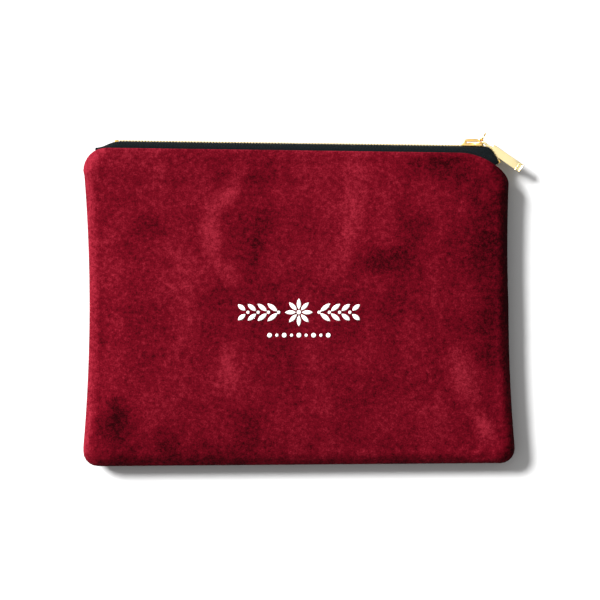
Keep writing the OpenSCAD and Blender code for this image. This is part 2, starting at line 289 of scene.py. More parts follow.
def new_object(name, verts, faces):
    mesh = bpy.data.meshes.new(name)
    mesh.from_pydata([tuple(c * MM for c in v) for v in verts], [], faces)
    mesh.update()
    obj = bpy.data.objects.new(name, mesh)
    bpy.context.collection.objects.link(obj)
    return obj


def band(a, b, n):
    """The faces between two rings of n corners that start at a and b."""
    return [(a + i, b + i, b + (i + 1) % n, a + (i + 1) % n) for i in range(n)]


def outward(obj):
    """Makes every face of a closed mesh point outwards."""
    make_active(obj)
    bpy.ops.object.mode_set(mode="EDIT")
    bpy.ops.mesh.select_all(action="SELECT")
    bpy.ops.mesh.normals_make_consistent(inside=False)
    bpy.ops.object.mode_set(mode="OBJECT")
    return obj


def add_modifier(obj, kind, **settings):
    modifier = obj.modifiers.new(kind.title(), kind)
    for key, value in settings.items():
        setattr(modifier, key, value)
    return modifier


def apply_all(obj):
    make_active(obj)
    for modifier in list(obj.modifiers):
        bpy.ops.object.modifier_apply(modifier=modifier.name)
    return obj


def smooth(obj, angle=None):
    make_active(obj)
    if angle is None:
        bpy.ops.object.shade_smooth()
    else:
        bpy.ops.object.shade_smooth_by_angle(angle=math.radians(angle))
    return obj


def bake_place(obj):
    """Moves the object's place into its mesh."""
    make_active(obj)
    bpy.ops.object.transform_apply(location=True, rotation=True, scale=True)
    return obj


def keep_side(obj, name, sign):
    """A copy of obj with only its left (-1) or right (1) half, cut at x = 0."""
    half = obj.copy()
    half.data = obj.data.copy()
    half.name = half.data.name = name
    bpy.context.collection.objects.link(half)
    make_active(half)
    bpy.ops.object.mode_set(mode="EDIT")
    bpy.ops.mesh.select_all(action="SELECT")
    bpy.ops.mesh.bisect(plane_co=(0, 0, 0), plane_no=(1, 0, 0), use_fill=True,
                        clear_inner=sign > 0, clear_outer=sign < 0)
    bpy.ops.object.mode_set(mode="OBJECT")
    return smooth(half, 50)


def finish_piece(obj, look, slot, *replaced, body="pouch"):
    """Gives a piece its material, replaced nodes and body; the front's halves get no body. slot is not used.
    """
    obj.data.materials.clear()
    obj.data.materials.append(look)
    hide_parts(*replaced)
    if body:
        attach(obj, body)
    return obj


HANDS = ((-1, "left"), (1, "right"))


def bow(obj, sign):
    """Moves the place of the front's left or right half into its mesh."""
    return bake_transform(obj)


def finish_front(whole, look, slot, cad_nodes):
    """Makes a front layer into two halves, cut at x = 0; cad_nodes(hand) lists what each half replaces."""
    halves = []
    for sign, hand in HANDS:
        half = keep_side(whole, f"{whole.name}_{hand}", sign)
        finish_piece(half, look, slot, *cad_nodes(hand), body=None)
        bow(half, sign)
        halves.append(half)
    bpy.data.objects.remove(whole)
    return halves


# ---------------------------------------------------------------- materials


class Value:
    """One value in a material's node tree; sums and products of it add Math nodes."""

    def __init__(self, maker, socket):
        self.maker = maker
        self.socket = socket

    def math(self, operation, a, b=0.0):
        out = self.maker.node("ShaderNodeMath", {"operation": operation}, {0: a, 1: b})
        return Value(self.maker, out.outputs[0])

    def __add__(self, other):
        return self.math("ADD", self, other)

    __radd__ = __add__

    def __sub__(self, other):
        return self.math("SUBTRACT", self, other)

    def __rsub__(self, other):
        return self.math("SUBTRACT", other, self)

    def __mul__(self, other):
        return self.math("MULTIPLY", self, other)

    __rmul__ = __mul__

    def sine(self):
        return self.math("SINE", self)


class Maker:
    """Builds one material: a Principled shader and the nodes that feed it."""

    def __init__(self, name, **shader):
        self.material = bpy.data.materials.new(name)
        self.material.use_nodes = True
        self.tree = self.material.node_tree
        self.shader = self.tree.nodes["Principled BSDF"]
        for key, value in shader.items():
            self.shader.inputs[key.replace("_", " ")].default_value = value

    def node(self, kind, settings=None, inputs=None):
        made = self.tree.nodes.new(kind)
        for key, value in (settings or {}).items():
            setattr(made, key, value)
        for key, value in (inputs or {}).items():
            self.feed(made.inputs[key], value)
        return made

    def feed(self, socket, value):
        if isinstance(value, Value):
            self.tree.links.new(value.socket, socket)
        elif isinstance(value, bpy.types.NodeSocket):
            self.tree.links.new(value, socket)
        else:
            socket.default_value = value

    def place(self, turn=(0, 0, 0), scale=(1, 1, 1)):
        """Object coordinates, turned and scaled."""
        mapping = self.node("ShaderNodeMapping", None, {
            "Vector": self.node("ShaderNodeTexCoord").outputs["Object"],
            "Rotation": tuple(math.radians(a) for a in turn),
            "Scale": scale,
        })
        return mapping.outputs[0]

    def axes(self, vector):
        split = self.node("ShaderNodeSeparateXYZ", None, {0: vector})
        return [Value(self, split.outputs[i]) for i in range(3)]

    def noise(self, vector, scale, detail=2.0, rough=0.5, warp=0.0):
        made = self.node("ShaderNodeTexNoise", None, {
            "Vector": vector, "Scale": scale, "Detail": detail, "Roughness": rough, "Distortion": warp})
        return Value(self, made.outputs["Fac"])

    def stroke(self, x, y, long, wide, angle):
        """1 in the middle of a soft oval in the seam plane, and 0 outside it; sizes in millimetres."""
        turned = self.node("ShaderNodeMapping", {"vector_type": "TEXTURE"}, {
            "Vector": self.node("ShaderNodeTexCoord").outputs["Object"],
            "Location": (x * MM, y * MM, 0.0),
            "Rotation": (0.0, 0.0, math.radians(angle)),
            "Scale": (long * MM, wide * MM, 1.0),
        })
        far = self.node("ShaderNodeVectorMath", {"operation": "LENGTH"}, {0: turned.outputs[0]})
        return self.ramp(Value(self, far.outputs["Value"]), 1.0, 0.0)

    def ramp(self, value, low, high):
        """0 below low and 1 above high."""
        made = self.node("ShaderNodeMapRange", {"interpolation_type": "SMOOTHSTEP"}, {
            "Value": value, "From Min": low, "From Max": high, "To Min": 0.0, "To Max": 1.0})
        return Value(self, made.outputs[0])

    def blend(self, share, a, b):
        made = self.node("ShaderNodeMix", {"data_type": "RGBA"}, {"Factor": share})
        for name, colour in (("A", a), ("B", b)):
            socket = [s for s in made.inputs if s.name == name and s.type == "RGBA"][0]
            self.feed(socket, colour if isinstance(colour, bpy.types.NodeSocket) else (*colour, 1.0))
        return [s for s in made.outputs if s.type == "RGBA"][0]

    def bump(self, height, distance, strength=1.0, after=None):
        inputs = {"Height": height, "Distance": distance, "Strength": strength}
        if after is not None:
            inputs["Normal"] = after
        return self.node("ShaderNodeBump", None, inputs).outputs[0]

    def done(self, base, rough, normal):
        for name, value in (("Base Color", base), ("Roughness", rough), ("Normal", normal)):
            self.feed(self.shader.inputs[name], value)
        return self.material


# Soft brushed strokes in the velvet's pile: middle x and y, half length, half width (mm), direction
# (degrees), strength
BRUSHED = (
    (-38, 63, 24, 9, 56, 0.8), (-47.5, 38, 24, 11, 95, 0.95), (-38, 16, 16, 9, 132, 0.6),
    (-39, -34, 24, 9, 88, 0.6), (28, 44, 38, 10, 76, 0.5), (90, -40, 26, 13, 108, 1.0),
    (101, -66, 16, 9, 112, 0.85), (-63, 14, 30, 20, 90, 0.45), (-20, -44, 26, 16, 20, 0.2),
    (72, 76, 34, 10, 0, -0.8), (47, 24, 30, 12, 15, -0.7), (-101, -63, 20, 14, 90, -0.9),
    (-22, 34, 30, 12, 75, -0.6), (-80, 44, 18, 12, 0, -0.5), (55, -42, 34, 18, 10, -0.45),
    (-75, -70, 16, 12, 90, -0.5), (92, 60, 22, 10, 120, -0.3),
)


def velvet_material():
    """Crimson velvet with painted light and shade on its slopes, lighter where they face left and up and
    darker where they face right and down, and with brushed strokes and fine pile.
    """
    colours = bpy.context.scene.pouch_colours
    m = Maker("crimson_velvet", Sheen_Weight=0.03, Sheen_Roughness=0.4, Sheen_Tint=(1.0, 0.15, 0.25, 1.0),
              Specular_IOR_Level=0.03)
    plain = m.place()
    patches = m.noise(plain, 46, detail=5, rough=0.62, warp=0.8)
    bands = m.noise(m.place(turn=(0, 0, 28), scale=(1.0, 0.42, 1.0)), 30, detail=3, warp=0.5)
    grain = m.noise(plain, 1300, detail=2, rough=0.7)
    speck = m.noise(plain, 420, detail=3, rough=0.7)
    strokes = 0.0
    for x, y, long, wide, angle, strength in BRUSHED:
        strokes = m.stroke(x, y, long, wide, angle) * strength + strokes
    right, up, _ = m.axes(m.node("ShaderNodeNewGeometry").outputs["Normal"])
    # painted light and shade: by the surface's normal, slopes facing left and up are painted lighter and
    # slopes facing right and down darker
    painted_slope_shade = up * 0.2 - right * 0.34
    nap_and_slope_shade = (patches - 0.5) * 0.5 + (bands - 0.5) * 0.46 + strokes * 0.3 + painted_slope_shade + 0.45
    tone = nap_and_slope_shade + (grain - 0.5) * 0.7 + (speck - 0.5) * 0.8
    deep = m.blend(m.ramp(tone, 0.04, 0.56), colours.velvet_dark, colours.velvet_mid)
    pile = m.bump(grain, 0.00035, 0.5)
    return m.done(m.blend(m.ramp(tone, 0.44, 0.96), deep, colours.velvet_light),
                  m.ramp(nap_and_slope_shade, 0.2, 0.8) * -0.12 + 0.95,
                  m.bump(patches + bands, 0.003, 0.2, pile))


def lining_material():
    colours = bpy.context.scene.pouch_colours
    m = Maker("black_lining", Specular_IOR_Level=0.35)
    x, y, _ = m.axes(m.place(turn=(0, 0, 45)))
    weave = (x * 9000).sine() * (y * 9000).sine()
    shade = m.noise(m.place(), 60, detail=3)
    light = tuple(min(1, c * 2.6) for c in colours.lining)
    return m.done(m.blend(m.ramp(weave * 0.2 + shade, 0.3, 0.75), colours.lining, light),
                  shade * 0.2 + 0.5,
                  m.bump(weave, 0.0001, 0.5))


def fleece_material():
    m = Maker("white_fleece", Specular_IOR_Level=0.1, Sheen_Weight=0.3)
    lofty = m.noise(m.place(), 500, detail=4, rough=0.7)
    return m.done(m.blend(lofty, (0.68, 0.66, 0.62), (0.88, 0.86, 0.82)),
                  lofty * 0.1 + 0.88,
                  m.bump(lofty, 0.0008, 0.8))


def tape_material():
    colours = bpy.context.scene.pouch_colours
    m = Maker("black_zip_tape", Specular_IOR_Level=0.08)
    along, across, out = m.axes(m.place(turn=(0, 0, -math.degrees(TILT))))
    ribs = (along * 7400).sine()
    picks = ((across + out) * 8200).sine()
    weave = ribs * picks
    lint = m.noise(m.place(), 900, detail=3, rough=0.7)
    light = tuple(c * 3 + 0.001 for c in colours.tape)
    return m.done(m.blend(m.ramp(weave * 0.28 + lint, 0.3, 0.95), colours.tape, light),
                  lint * 0.2 + 0.7,
                  m.bump(weave, 0.00018, 0.8))


def metal_material(name, setting, worn, roughness, brushed=0.0):
    """Plated metal, a little worn; setting names its colour."""
    plate = tuple(getattr(bpy.context.scene.pouch_colours, setting))
    m = Maker(name, Metallic=1.0)
    place = m.place()
    wear = m.noise(place, 260, detail=4, rough=0.6)
    streaks = m.noise(m.place(turn=(0, 0, 31), scale=(0.06, 1.6, 1.0)), 2600, detail=2, rough=0.6)
    return m.done(m.blend(m.ramp(wear, 0.42, 0.75), plate, worn),
                  wear * 0.12 + streaks * brushed + roughness,
                  m.bump(streaks, 0.00002, 0.12 + brushed))


def thread_material():
    colours = bpy.context.scene.pouch_colours
    m = Maker("white_satin_thread", Specular_IOR_Level=0.6, Sheen_Weight=0.25)
    fray = m.noise(m.place(), 2200, detail=3, rough=0.7)
    shade = tuple(c * 0.72 for c in colours.thread)
    return m.done(m.blend(m.ramp(fray, 0.25, 0.7), shade, colours.thread),
                  fray * 0.2 + 0.36,
                  m.bump(fray, 0.0001, 0.5))


MAKERS = {
    "velvet": velvet_material,
    "lining": lining_material,
    "fleece": fleece_material,
    "tape": tape_material,
    "thread": thread_material,
    "gold": lambda: metal_material("gold_plate", "gold", (0.74, 0.5, 0.2), 0.16),
    "teeth": lambda: metal_material("pale_gold_teeth", "pale_gold", (0.8, 0.66, 0.36), 0.2),
    "tab": lambda: metal_material("pale_gold_plate", "pale_gold", (0.9, 0.76, 0.44), 0.13, 0.1),
}


def material(name):
    """A material by its short name, made once."""
    store = bpy.context.scene.get("pouch_materials") or {}
    if name in store:
        return bpy.data.materials[store[name]]
    made = MAKERS[name]()
    names = dict(store)
    names[name] = made.name
    bpy.context.scene["pouch_materials"] = names
    return made


# ---------------------------------------------------------------- velvet, padding and lining


def shell_mesh(name, depth, thick, side, first, groove=0.0, step=2.6):
    """One layer of one side: outer face, inner face and the rim between, in millimetres about the seam."""
    points = outline(step)
    n = len(points)
    sizes = bpy.context.scene.pouch_sizes
    roll = sizes.roll / MM
    arcs = 11
    insets = even_insets(roll, 3.0)
    rings = []
    for layer_depth, flip in ((depth, False), (depth + thick, True)):
        face = list(face_rings(points, layer_depth, 0.9, side, groove, arcs, insets))[first:]
        rings += face[::-1] if flip else face
    half = len(rings) // 2
    verts = [(x, y, SEAM_Z + side * high) for ring in rings for x, y, high, mouth in ring]
    faces = []
    for k in range(2 * half):
        if k == half - 1:
            continue
        a, b = k * n, ((k + 1) % (2 * half)) * n
        faces += [(a + i, a + (i + 1) % n, b + (i + 1) % n, b + i) for i in range(n)]
    for k in (half - 1, half):
        centre = len(verts)
        ring = rings[k]
        verts.append((0, CENTRE_Y, SEAM_Z + side * sum(p[2] for p in ring) / n))
        faces += [(k * n + i, k * n + (i + 1) % n, centre)[::1 if k == half - 1 else -1] for i in range(n)]
    return new_object(name, verts, faces)


def free_at(z):
    """How free the cloth is at a height in millimetres: 0 where it is sewn, 1 on the face."""
    return ease((abs(z - SEAM_Z) - 0.6) / 5)


def pucker(obj, side):
    """Small gathers near the seams and long, soft undulations over the face."""
    points = outline(2.0)
    rims = [Vector((x, y)) for x, y, mouth in points]
    shares = [mouth for x, y, mouth in points]
    for vert in obj.data.vertices:
        p = vert.co / MM
        flat = Vector((p.x, p.y))
        near = min(range(len(rims)), key=lambda i: (rims[i] - flat).length_squared)
        inset = (rims[near] - flat).length
        along = near * 0.31
        sewn = 1 - shares[near] * 0.75
        gather = noise.noise(Vector((along, inset * 0.06, side * 3.0))) * math.exp(-inset / 13) * 0.62 * sewn
        dent = noise.noise(Vector((p.x * 0.028, p.y * 0.036, side * 7.0))) * 0.55 * ease(inset / 24)
        ripple = noise.noise(Vector((p.x * 0.075 + p.y * 0.03, p.y * 0.05, side * 11.0)))
        ripple *= 0.2 * ease(inset / 12)
        vert.co.z += side * (gather + dent + ripple) * free_at(p.z) * MM
        vert.co.z = max(0.0, vert.co.z)
    obj.data.update()


def cushion():
    """The closed pillow that both padded sides make together, for the cloth to settle on."""
    points = outline(6.0)
    n = len(points)
    sizes = bpy.context.scene.pouch_sizes
    insets = even_insets(sizes.roll / MM, 8.0)
    rings = []
    for side in (1, -1):
        face = list(face_rings(points, 0.0, 0.0, side, 0.0, 4, insets))
        rings += [[(x, y, SEAM_Z + side * high) for x, y, high, mouth in ring]
                  for ring in (face[::-1] if side > 0 else face)]
    verts = [p for ring in rings for p in ring]
    faces = []
    for k in range(len(rings) - 1):
        faces += band(k * n, (k + 1) * n, n)
    for k in (0, len(rings) - 1):
        ring = [k * n + i for i in range(n)]
        centre = len(verts)
        verts.append((0, CENTRE_Y, sum(verts[i][2] for i in ring) / n))
        faces += [(ring[i], ring[(i + 1) % n], centre)[::1 if k == 0 else -1] for i in range(n)]
    return outward(new_object("cushion", verts, faces))


VOXEL = 5 * MM
FRAMES = 20
CLOTH = {
    "quality": 6, "mass": 0.4, "tension_stiffness": 22, "compression_stiffness": 14, "shear_stiffness": 8,
    "bending_stiffness": 0.8, "use_pressure": True, "uniform_pressure_force": 4.0,
}


def settle():
    """Lets the padding push the cloth out; returns the rest shape's triangles and each corner's shift."""
    obj = cushion()
    add_modifier(obj, "REMESH", mode="VOXEL", voxel_size=VOXEL)
    apply_all(obj)
    rest = [v.co.copy() for v in obj.data.vertices]
    group = obj.vertex_groups.new(name="sewn")
    for i, co in enumerate(rest):
        at_seam = 1 - ease((abs(co.z / MM - SEAM_Z) - 1.0) / 3.5)
        at_mouth = ease((co.y / MM - top_at(co.x / MM) + 9) / 6)
        group.add([i], min(1.0, at_seam + at_mouth), "REPLACE")
    cloth = add_modifier(obj, "CLOTH")
    for key, value in CLOTH.items():
        setattr(cloth.settings, key, value)
    cloth.settings.vertex_group_mass = "sewn"
    cloth.settings.effector_weights.gravity = 0
    cloth.collision_settings.use_collision = False
    cloth.point_cache.frame_start = 1
    cloth.point_cache.frame_end = FRAMES
    scene = bpy.context.scene
    for number in range(1, FRAMES + 1):
        scene.frame_set(number)
    make_active(obj)
    bpy.ops.object.modifier_apply(modifier=cloth.name)
    shifts = [v.co - co for v, co in zip(obj.data.vertices, rest)]
    obj.data.calc_loop_triangles()
    triangles = [tuple(t.vertices) for t in obj.data.loop_triangles]
    bpy.data.objects.remove(obj)
    scene.frame_set(1)
    if max(s.length for s in shifts) < 1e-5:
        raise RuntimeError("the cloth did not move")
    return rest, triangles, shifts


def swell(obj, settled):
    """Moves a layer with the settled cloth, no further than the swell allows."""
    rest, triangles, shifts = settled
    tree = BVHTree.FromPolygons(rest, triangles)
    most = bpy.context.scene.pouch_sizes.swell
    mean = sum((s.z * (1 if r.z > SEAM_Z * MM else -1) for s, r in zip(shifts, rest)), 0.0) / len(shifts)
    for vert in obj.data.vertices:
        spot, _, index, _ = tree.find_nearest(vert.co)
        corners = triangles[index]
        weights = poly_3d_calc([rest[i] for i in corners], spot)
        shift = sum((shifts[i] * w for i, w in zip(corners, weights)), Vector())
        up = 1 if vert.co.z > SEAM_Z * MM else -1
        # the velvet beside the tape is held by its stitching
        held = ease((vert.co.y / MM - top_at(vert.co.x / MM) + 20) / 8)
        lift = min(most, max(-most, (shift.z * up - mean * (1 - held)) * 0.8))
        reach = free_at(vert.co.z / MM)
        vert.co.z = max(0.0, vert.co.z + up * lift * reach)
        vert.co.x += shift.x * 0.3 * reach
        vert.co.y += shift.y * 0.3 * reach
    obj.data.update()


LAYERS = {
    "velvet": ("panel", "velvet", 0.0, 0),
    "fleece": ("padding", "fleece", 0.12, 12),
    "pocket": ("lining", "lining", 0.24, 0),
}


def layer_depth(kind):
    """How far below the velvet's surface a layer starts, in millimetres."""
    sizes = bpy.context.scene.pouch_sizes
    above = {"velvet": (), "fleece": (sizes.velvet,), "pocket": (sizes.velvet, sizes.padding)}[kind]
    return sum(above) / MM + LAYERS[kind][2]


class Step:
    """What all the building steps share"""

    bl_options = {"REGISTER", "UNDO"}


class POUCH_OT_shells(Step, bpy.types.Operator):
    """Build one kind of layer, front and back, from the pouch's outline"""

    bl_idname = "pouch.shells"
    bl_label = "Padded Layers"

    puckered: bpy.props.BoolProperty(
        name="Puckered", description="Gather the cloth at its seams", default=True)

    def execute(self, context):
        sizes = context.scene.pouch_sizes
        settled = settle()
        for kind, (word, slot, _, first) in LAYERS.items():
            thick = {"velvet": sizes.velvet, "fleece": sizes.padding, "pocket": sizes.lining}[kind] / MM
            for side, where in ((1, "front"), (-1, "back")):
                groove = sizes.seam_groove / MM if kind == "velvet" else 0
                whole = shell_mesh(f"{where}_{kind}", layer_depth(kind), thick, side, first, groove)
                if self.puckered:
                    pucker(whole, side)
                if settled:
                    swell(whole, settled)
                outward(whole)
                smooth(whole, 50)
                self.finish(whole, kind, slot, side, f"{where}_{word}")
        return {"FINISHED"}

    def finish(self, whole, kind, slot, side, cad_node):
        if side < 0:
            pieces = [finish_piece(whole, material(slot), slot, cad_node)]
        else:
            pieces = finish_front(whole, material(slot), slot, lambda hand: (cad_node,))
        for piece in pieces:
            self.declare(piece, kind)

    def declare(self, obj, kind):
        if kind != "pocket":
            return


# ---------------------------------------------------------------- zip


def zip_matrix():
    """The zip's frame: x along the chain, y out of the mouth, z across the chain."""
    return Matrix.Translation((0, MOUTH_Y * MM, SEAM_Z * MM)) @ Matrix.Rotation(TILT, 4, "Z")


CHAIN_START = -98.0
SLIDER_L = 11.6
SPLIT_MAX = 1.2         # how far the rows part past the slider, and how fast
SPLIT_SLOPE = 0.33
BEND_R = 6.0            # the chain's turn at the corner, and its straight end
BEND_A = math.radians(58)
TAIL_L = 6.6
STOP_L = 2.0


def slider_x():
    """Left end of the parked slider, in the zip's frame, in millimetres."""
    low = zip_matrix().inverted() @ Vector((SLIDER_LOW.x, SLIDER_LOW.y, SEAM_Z * MM))
    return low.x / MM


class Path:
    """The chain's path, straight and then round the upper right corner."""

    def __init__(self):
        sizes = bpy.context.scene.zip_sizes
        self.slider = slider_x()
        self.rise = sizes.chain_rise / MM
        self.pitch = sizes.pitch / MM
        self.split = self.slider + 6.6
        self.bend = self.slider + SLIDER_L + 0.3
        self.bend_l = BEND_R * BEND_A
        self.end = self.bend + self.bend_l + TAIL_L
        self.row_end = self.end - STOP_L

    def at(self, s):
        """Place and turn at distance s, in the zip's frame."""
        angle = min(1, max(0, (s - self.bend) / self.bend_l)) * BEND_A
        after = max(0, s - self.bend - self.bend_l)
        x = min(s, self.bend) + BEND_R * math.sin(angle) + after * math.cos(BEND_A)
        y = self.rise - BEND_R * (1 - math.cos(angle)) - after * math.sin(BEND_A)
        return x, y, angle

    def matrix(self, s, out=0.0):
        """Frame of the chain at distance s, moved outwards across the chain."""
        x, y, angle = self.at(s)
        return zip_matrix() @ Matrix.Translation((x * MM, y * MM, out * MM)) @ Matrix.Rotation(-angle, 4, "Z")

    def parted(self, s):
        return 0 if s < self.split else min(SPLIT_MAX, (s - self.split) * SPLIT_SLOPE)

    def swept(self, name, stations, section):
        """A closed band along the path; section(s) lists (height, distance across) in millimetres."""
        verts, faces = [], []
        for s in stations:
            x, y, angle = self.at(s)
            ring = section(s)
            n = len(ring)
            for high, out in ring:
                spot = zip_matrix() @ Vector((
                    (x + high * math.sin(angle)) * MM, (y + high * math.cos(angle)) * MM, out * MM))
                verts.append(tuple(c / MM for c in spot))
        for k in range(len(stations) - 1):
            faces += band(k * n, (k + 1) * n, n)
        last = (len(stations) - 1) * n
        faces += [tuple(range(n)), tuple(range(last + n - 1, last - 1, -1))]
        return outward(new_object(name, verts, faces))


def even(start, end, step):
    count = max(1, math.ceil((end - start) / step))
    return [mix(start, end, i / count) for i in range(count + 1)]


TAPE_TIP = -112.0
TAPE_FLAT = (0.0, 0.3, 0.6, 0.72, 0.86, 1.0)     # how far across each fold of the tape is
TAPE_DOWN = (0.0, 0.06, 0.2, 0.34, 0.62, 0.95)   # and how far down to the velvet's edge


class Rim:
    """The velvet's edge at the mouth, as seen from the zip's path."""

    def __init__(self, path):
        self.path = path
        back = zip_matrix().inverted()
        self.points = []
        for x, y, mouth in outline(1.0):
            if y > 55:
                spot = back @ Vector((x * MM, y * MM, SEAM_Z * MM))
                self.points.append((spot.x / MM, spot.y / MM, mix(SEAM_GAP, MOUTH_H, mouth)))

    def below(self, s):
        """How far below the path the edge lies, square to the path, and the edge's height there."""
        x, y, angle = self.path.at(s)
        along, down = (math.cos(angle), -math.sin(angle)), (-math.sin(angle), -math.cos(angle))
        best = None
        for (ax, ay, ah), (bx, by, bh) in zip(self.points, self.points[1:]):
            pa = (ax - x) * along[0] + (ay - y) * along[1]
            pb = (bx - x) * along[0] + (by - y) * along[1]
            if pa * pb <= 0 and pa != pb:
                t = pa / (pa - pb)
                depth = (mix(ax, bx, t) - x) * down[0] + (mix(ay, by, t) - y) * down[1]
                if best is None or abs(depth) < abs(best[0]):
                    best = depth, mix(ah, bh, t)
        return best or (self.path.rise, MOUTH_H)


def tape_section(path, rim, s, side):
    """Tape cross-section (height above the chain's middle, distance across) at distance s."""
    thick = bpy.context.scene.zip_sizes.tape / MM
    gap, edge_high = rim.below(max(s, -106))
    point = ease((-104.5 - s) / 7.2)    # 1 at the left tip, where the tape is folded to a point
    inner = mix(1.95 + path.parted(s), 0.06, ease((-99.5 - s) / 4))
    outer = max(inner + 0.3, edge_high - 1.3)
    sink = mix(0.0, -3.4, ease((-100 - s) / 11.5))
    wave = noise.noise(Vector((s * 0.11, side * 4.0, 2.0))) * 0.3
    centre = []
    for i, (share, down) in enumerate(zip(TAPE_FLAT, TAPE_DOWN)):
        centre.append((-down * gap * mix(1, 0.3, point) + wave * (1 < i < 5), mix(inner, outer, share)))
    tuck = min(1.0, edge_high / MOUTH_H)
    for deep, out in ((gap + 3 * tuck, 0.35), (gap + 8 * tuck, 0.85)):
        centre.append((-deep * mix(1, 0.3, point), outer + out))
    centre = [(high + sink, out * mix(1.0, 0.05, point)) for high, out in centre]
    ring = []
    for flip in (1, -1):
        line = []
        for i, (high, out) in enumerate(centre):
            before, after = centre[max(0, i - 1)], centre[min(len(centre) - 1, i + 1)]
            way = Vector((after[0] - before[0], after[1] - before[1])).normalized()
            line.append((high + way.y * flip * thick / 2, out - way.x * flip * thick / 2))
        ring += line[::flip]
    return [(high, side * out) for high, out in ring]


def cord_section(path, s, side):
    radius = mix(0.42, 0.32, ease((s - path.split + 2) / 4))
    out = 1.5 + path.parted(s)
    return [(radius * math.cos(i * math.tau / 10), side * (out + radius * math.sin(i * math.tau / 10)))
            for i in range(10)]


def modelled_tooth():
    """One tooth by edit-mode modelling: a web, a head on one side and two legs on the other."""
    half = bpy.context.scene.zip_sizes.tooth_height / MM / 2
    tooth = box_between("tooth", (-0.375, -0.55, 0.31), (0.375, 0.55, 1.05))
    for way in (-1, 1):
        pick(tooth, "FACE", lambda c, n: n.y * way > 0.9)
        extrude(y=way * (half - 0.55))
    pick(tooth, "FACE", lambda c, n: n.z > 0.9 and abs(c.y) > 0.6 * MM)
    extrude(z=1.05)
    pick(tooth, "FACE", lambda c, n: n.z < -0.9 and abs(c.y) < 0.5 * MM)
    extrude(z=-0.86)
    resize(x=0.9, y=1.12)
    bpy.ops.object.mode_set(mode="OBJECT")
    add_modifier(tooth, "BEVEL", width=0.09 * MM, segments=1, limit_method="ANGLE",
                 angle_limit=math.radians(50))
    return smooth(apply_all(tooth), 35)


def pick(obj, kind, test):
    """Picks just the faces, by centre and normal, or the corners, by place, that pass the test."""
    make_active(obj)
    bpy.ops.object.mode_set(mode="EDIT")
    bpy.ops.mesh.select_all(action="DESELECT")
    bpy.ops.mesh.select_mode(type=kind)
    mesh = bmesh.from_edit_mesh(obj.data)
    if kind == "FACE":
        chosen = [face for face in mesh.faces if test(face.calc_center_median(), face.normal)]
    else:
        chosen = [vert for vert in mesh.verts if test(vert.co)]
    for item in chosen:
        item.select_set(True)
    mesh.select_flush_mode()
    bmesh.update_edit_mesh(obj.data)
    if not chosen:
        raise RuntimeError(f"nothing of {obj.name} was found")


def resize(x=1, y=1, z=1, about=(0, 0, 0)):
    bpy.ops.transform.resize(value=(x, y, z), center_override=about)


def shift(y=0.0, z=0.0):
    """Moves what is picked, in millimetres."""
    bpy.ops.transform.translate(value=(0, y * MM, z * MM))


def extrude(y=0.0, z=0.0):
    """Extrudes what is picked, in millimetres."""
    bpy.ops.mesh.extrude_region_move(TRANSFORM_OT_translate={"value": (0, y * MM, z * MM)})


def inset(width):
    bpy.ops.mesh.inset(thickness=width * MM)


def copies(name, pattern, places):
    """One object made of copies of the pattern's mesh, one at each place."""
    mesh = bmesh.new()
    for place in places:
        part = pattern.data.copy()
        part.transform(place)
        if place.determinant() < 0:
            part.flip_normals()
        mesh.from_mesh(part)
        bpy.data.meshes.remove(part)
    data = bpy.data.meshes.new(name)
    mesh.to_mesh(data)
    mesh.free()
    obj = bpy.data.objects.new(name, data)
    bpy.context.collection.objects.link(obj)
    return obj


class POUCH_OT_tapes(Step, bpy.types.Operator):
    """Weave the zip's tapes and their corded edges"""

    bl_idname = "pouch.tapes"
    bl_label = "Zip Tapes"

    def execute(self, context):
        path = Path()
        rim = Rim(path)
        near = even(path.bend - 8, path.end, 0.6)
        stations = even(TAPE_TIP, -97, 0.9)[:-1] + even(-97, path.bend - 8, 1.9)[:-1] + near
        corded = even(CHAIN_START - 1, path.split - 2, 6.0)[:-1] + even(path.split - 2, path.end, 0.6)
        for side, where in ((1, "front"), (-1, "back")):
            tape = path.swept(f"{where}_woven_tape", stations, lambda s: tape_section(path, rim, s, side))
            cord = path.swept(f"{where}_cord", corded, lambda s: cord_section(path, s, side))
            smooth(tape, 50)
            smooth(cord, 60)
            for whole, word in ((tape, "tape"), (cord, "tape_cord")):
                node = f"{where}_{word}"
                if side < 0:
                    finish_piece(whole, material("tape"), "tape", node, f"{node}_right_end")
                else:
                    finish_front(whole, material("tape"), "tape", lambda hand: (node, f"{node}_{hand}_end"))
        return {"FINISHED"}


